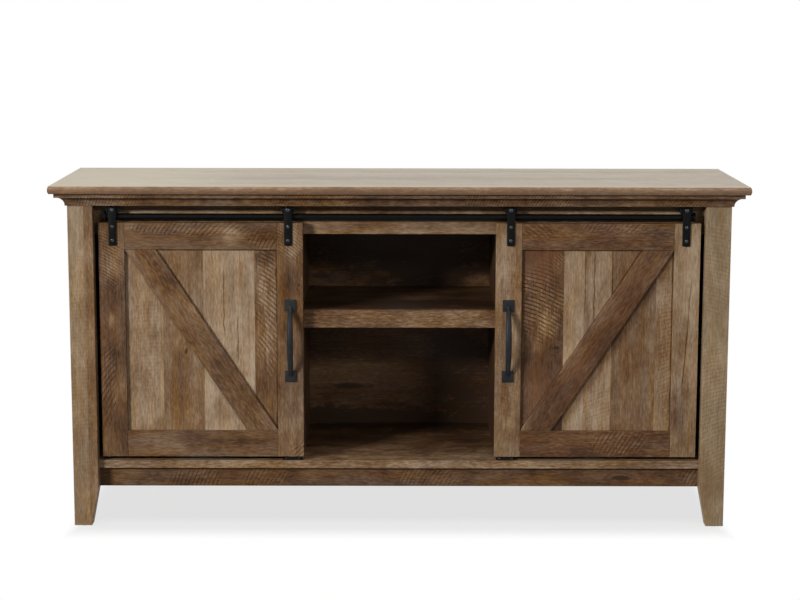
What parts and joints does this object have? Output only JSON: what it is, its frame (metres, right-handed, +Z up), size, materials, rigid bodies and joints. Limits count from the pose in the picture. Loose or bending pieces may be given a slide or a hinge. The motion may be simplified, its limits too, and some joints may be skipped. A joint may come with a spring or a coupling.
{
  "type": "media stand with sliding doors",
  "caption": "Low rustic oak media stand on tapered legs: an open shelved centre bay, and braced doors that slide on grooved wheels along a black rail over the side bays.",
  "frame": {"origin": "on the floor, at the middle of the stand's outline", "axes": "+X along the width to the right seen from the front, front towards -Y, +Z up"},
  "size_m": [1.515, 0.44, 0.762],
  "materials": {
    "rustic_oak": "matt printed oak laminate with saw marks",
    "oak_top": "satin printed oak laminate",
    "door_oak": "matt printed oak laminate with saw marks",
    "door_planks": "matt printed oak planks of mixed tone",
    "oak_backing": "printed fibreboard",
    "beech": "plain fluted beech",
    "black_steel": "satin black powder coat",
    "zinc": "zinc plated",
    "black_nylon": "moulded nylon",
    "glide_plastic": "moulded plastic"
  },
  "bodies": {
    "carcass": {"top_panel": "oak_top", "crown_front": "oak_top", "crown_left": "oak_top", "crown_right": "oak_top", "front_leg_left": "rustic_oak", "front_leg_right": "rustic_oak", "rear_leg_left": "rustic_oak", "rear_leg_right": "rustic_oak", "end_panel_left": "rustic_oak", "end_panel_right": "rustic_oak", "bottom_panel": "rustic_oak", "kick_board": "rustic_oak", "partition_left": "rustic_oak", "partition_right": "rustic_oak", "track_board": "rustic_oak", "centre_shelf": "rustic_oak", "centre_shelf_front": "rustic_oak", "side_shelf_left": "rustic_oak", "side_shelf_right": "rustic_oak", "rear_rail": "rustic_oak", "back_panel": "oak_backing", "shelf_pins": "zinc", "door_rail": "black_steel", "rail_end_caps": "black_steel", "rail_spacers": "black_steel", "rail_screws": "black_steel", "door_guides": "black_nylon", "guide_screws": "zinc", "leg_glides": "glide_plastic", "cam_locks": "zinc", "cam_bolts": "zinc", "dowels": "beech"},
    "left_door": {"left_door_outer_stile": "door_oak", "left_door_inner_stile": "door_oak", "left_door_top_rail": "door_oak", "left_door_bottom_rail": "door_oak", "left_door_panel": "door_planks", "left_door_brace": "door_oak", "left_door_hangers": "black_steel", "left_door_hanger_screws": "black_steel", "left_door_axle_bolts": "black_steel", "left_door_handle": "black_steel", "left_door_handle_screws": "black_steel"},
    "right_door": {"right_door_outer_stile": "door_oak", "right_door_inner_stile": "door_oak", "right_door_top_rail": "door_oak", "right_door_bottom_rail": "door_oak", "right_door_panel": "door_planks", "right_door_brace": "door_oak", "right_door_hangers": "black_steel", "right_door_hanger_screws": "black_steel", "right_door_axle_bolts": "black_steel", "right_door_handle": "black_steel", "right_door_handle_screws": "black_steel"},
    "left_outer_wheel": {"left_outer_wheel": "black_nylon"},
    "left_inner_wheel": {"left_inner_wheel": "black_nylon"},
    "right_outer_wheel": {"right_outer_wheel": "black_nylon"},
    "right_inner_wheel": {"right_inner_wheel": "black_nylon"}
  },
  "joints": [
    {"name": "left_door_slide", "type": "slide", "parent": "carcass", "child": "left_door", "axis": [1, 0, 0], "range_m": [0, 0.21]},
    {"name": "left_outer_wheel_roll", "type": "hinge", "parent": "left_door", "child": "left_outer_wheel", "pos_m": [-0.6255, -0.16, 0.707], "axis": [0, 1, 0], "range_deg": [0, 1270]},
    {"name": "left_inner_wheel_roll", "type": "hinge", "parent": "left_door", "child": "left_inner_wheel", "pos_m": [-0.243, -0.16, 0.707], "axis": [0, 1, 0], "range_deg": [0, 1270]},
    {"name": "right_door_slide", "type": "slide", "parent": "carcass", "child": "right_door", "axis": [-1, 0, 0], "range_m": [0, 0.21]},
    {"name": "right_outer_wheel_roll", "type": "hinge", "parent": "right_door", "child": "right_outer_wheel", "pos_m": [0.6255, -0.16, 0.707], "axis": [0, -1, 0], "range_deg": [0, 1270]},
    {"name": "right_inner_wheel_roll", "type": "hinge", "parent": "right_door", "child": "right_inner_wheel", "pos_m": [0.243, -0.16, 0.707], "axis": [0, -1, 0], "range_deg": [0, 1270]}
  ],
  "couplings": [
    {"joint": "left_outer_wheel_roll", "follows": "left_door_slide", "rad_per_m": 105.26},
    {"joint": "left_inner_wheel_roll", "follows": "left_door_slide", "rad_per_m": 105.26},
    {"joint": "right_outer_wheel_roll", "follows": "right_door_slide", "rad_per_m": 105.26},
    {"joint": "right_inner_wheel_roll", "follows": "right_door_slide", "rad_per_m": 105.26}
  ]
}
